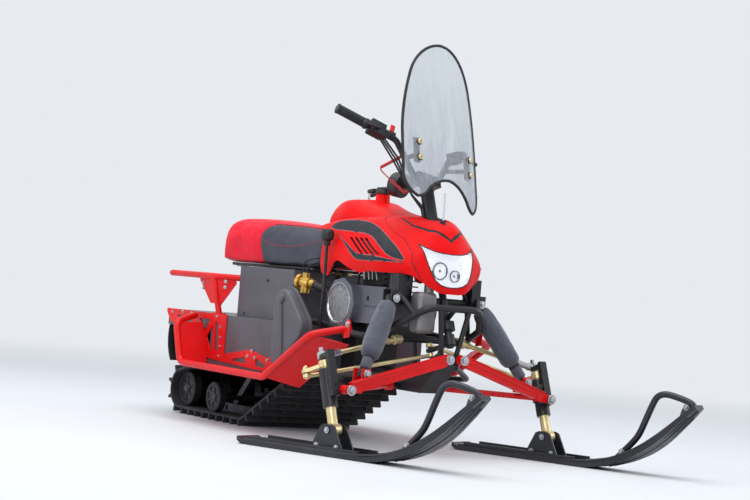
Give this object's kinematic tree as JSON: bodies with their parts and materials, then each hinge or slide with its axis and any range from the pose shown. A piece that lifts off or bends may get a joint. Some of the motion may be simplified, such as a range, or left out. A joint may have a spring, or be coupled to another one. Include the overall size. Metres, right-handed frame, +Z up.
{
  "type": "snowmobile",
  "caption": "Compact utility snowmobile with a full-width rubber track, steerable skis, a storage box under a hinged seat, a rear rack and a tall clear windshield.",
  "frame": {"origin": "on the ground, at the middle of the face of the track lug that stands under the vehicle, on its centre plane", "axes": "+X forward, +Y to the left, +Z up"},
  "size_m": [2.2072, 1.294, 1.4447],
  "materials": {
    "red_paint": "gloss",
    "red_panel": "gloss",
    "grey_paint": "satin",
    "black_frame": "satin",
    "track_rubber": "matte",
    "black_plastic": "matte",
    "dark_steel": "satin",
    "seat_cover": "matte",
    "strap_web": "matte",
    "flap_rubber": "matte",
    "sleeve_fabric": "matte",
    "zinc_gold": "satin",
    "carb_metal": "satin",
    "engine_metal": "matte",
    "duct_plastic": "matte",
    "grille_steel": "satin",
    "lamp_clear": "gloss",
    "screen_clear": "gloss",
    "rod_plastic": "matte"
  },
  "bodies": {
    "chassis": {"carburettor": "carb_metal", "chain_case": "grey_paint", "cooling_shroud": "duct_plastic", "cowl_front": "red_panel", "cowl_side_l": "red_panel", "cowl_side_r": "red_panel", "engine": "engine_metal", "exhaust": "dark_steel", "fan_grille": "grille_steel", "foot_tube_l": "red_paint", "foot_tube_r": "red_paint", "footboard_l": "red_paint", "footboard_r": "red_paint", "front_frame": "black_frame", "gear_lever": "black_plastic", "headlight": "lamp_clear", "hood_rod": "rod_plastic", "knuckle_l": "black_frame", "knuckle_r": "black_frame", "lower_arm_l": "red_paint", "lower_arm_r": "red_paint", "rear_deck": "grey_paint", "rear_rack": "red_paint", "seat_box": "grey_paint", "shock_l": "black_frame", "shock_r": "black_frame", "shock_sleeve_l": "sleeve_fabric", "shock_sleeve_r": "sleeve_fabric", "side_plate_l": "red_paint", "side_plate_r": "red_paint", "snow_flap": "flap_rubber", "tank_cap": "black_plastic", "tank_cover": "red_panel", "track": "track_rubber", "track_suspension": "dark_steel", "track_wheels": "black_plastic", "tunnel": "grey_paint", "upper_link_l": "zinc_gold", "upper_link_r": "zinc_gold"},
    "handlebar": {"steering_column": "black_frame", "handlebar": "black_frame", "grips": "flap_rubber", "hand_controls": "black_plastic", "control_cables": "black_plastic", "stop_strap": "strap_web", "gauge_pod": "black_plastic", "windshield": "screen_clear", "windshield_trim": "flap_rubber", "windshield_mount": "black_frame"},
    "seat": {"seat_base": "black_plastic", "seat_cushion": "seat_cover"},
    "spindle_right": {"spindle_r": "zinc_gold"},
    "spindle_left": {"spindle_l": "zinc_gold"},
    "tie_rod_right": {"tie_rod_r": "zinc_gold"},
    "tie_rod_left": {"tie_rod_l": "zinc_gold"},
    "ski_right": {"ski_r": "black_plastic", "ski_handle_r": "dark_steel"},
    "ski_left": {"ski_l": "black_plastic", "ski_handle_l": "dark_steel"}
  },
  "joints": [
    {"name": "steering", "type": "hinge", "parent": "chassis", "child": "handlebar", "pos_m": [1.092, 0, 0.392], "axis": [-0.3746, 0, 0.9272], "range_deg": [-49, 11]},
    {"name": "spindle_turn_right", "type": "hinge", "parent": "chassis", "child": "spindle_right", "pos_m": [1.018, -0.45, 0.295], "axis": [-0.3746, 0, 0.9272], "range_deg": [-49, 11]},
    {"name": "tie_rod_swing_right", "type": "hinge", "parent": "spindle_right", "child": "tie_rod_right", "pos_m": [0.95023, -0.47767, 0.2482], "axis": [-0.3746, 0, 0.9272], "range_deg": [-11, 49]},
    {"name": "ski_pitch_right", "type": "hinge", "parent": "spindle_right", "child": "ski_right", "pos_m": [1.10285, -0.45, 0.085], "axis": [-0.3256, 0.9455, 0], "range_deg": [-20, 20]},
    {"name": "spindle_turn_left", "type": "hinge", "parent": "chassis", "child": "spindle_left", "pos_m": [1.018, 0.45, 0.295], "axis": [-0.3746, 0, 0.9272], "range_deg": [-49, 11]},
    {"name": "tie_rod_swing_left", "type": "hinge", "parent": "spindle_left", "child": "tie_rod_left", "pos_m": [0.93674, 0.42233, 0.28158], "axis": [-0.3746, 0, 0.9272], "range_deg": [-11, 49]},
    {"name": "ski_pitch_left", "type": "hinge", "parent": "spindle_left", "child": "ski_left", "pos_m": [1.10285, 0.45, 0.085], "axis": [-0.3256, 0.9455, 0], "range_deg": [-20, 20]},
    {"name": "seat_lid", "type": "hinge", "parent": "chassis", "child": "seat", "pos_m": [0.38, 0, 0.604], "axis": [0, 1, 0], "range_deg": [0, 22]}
  ],
  "couplings": [
    {"joint": "spindle_turn_right", "follows": "steering", "ratio": 1},
    {"joint": "tie_rod_swing_right", "follows": "steering", "ratio": -1},
    {"joint": "spindle_turn_left", "follows": "steering", "ratio": 1},
    {"joint": "tie_rod_swing_left", "follows": "steering", "ratio": -1}
  ]
}
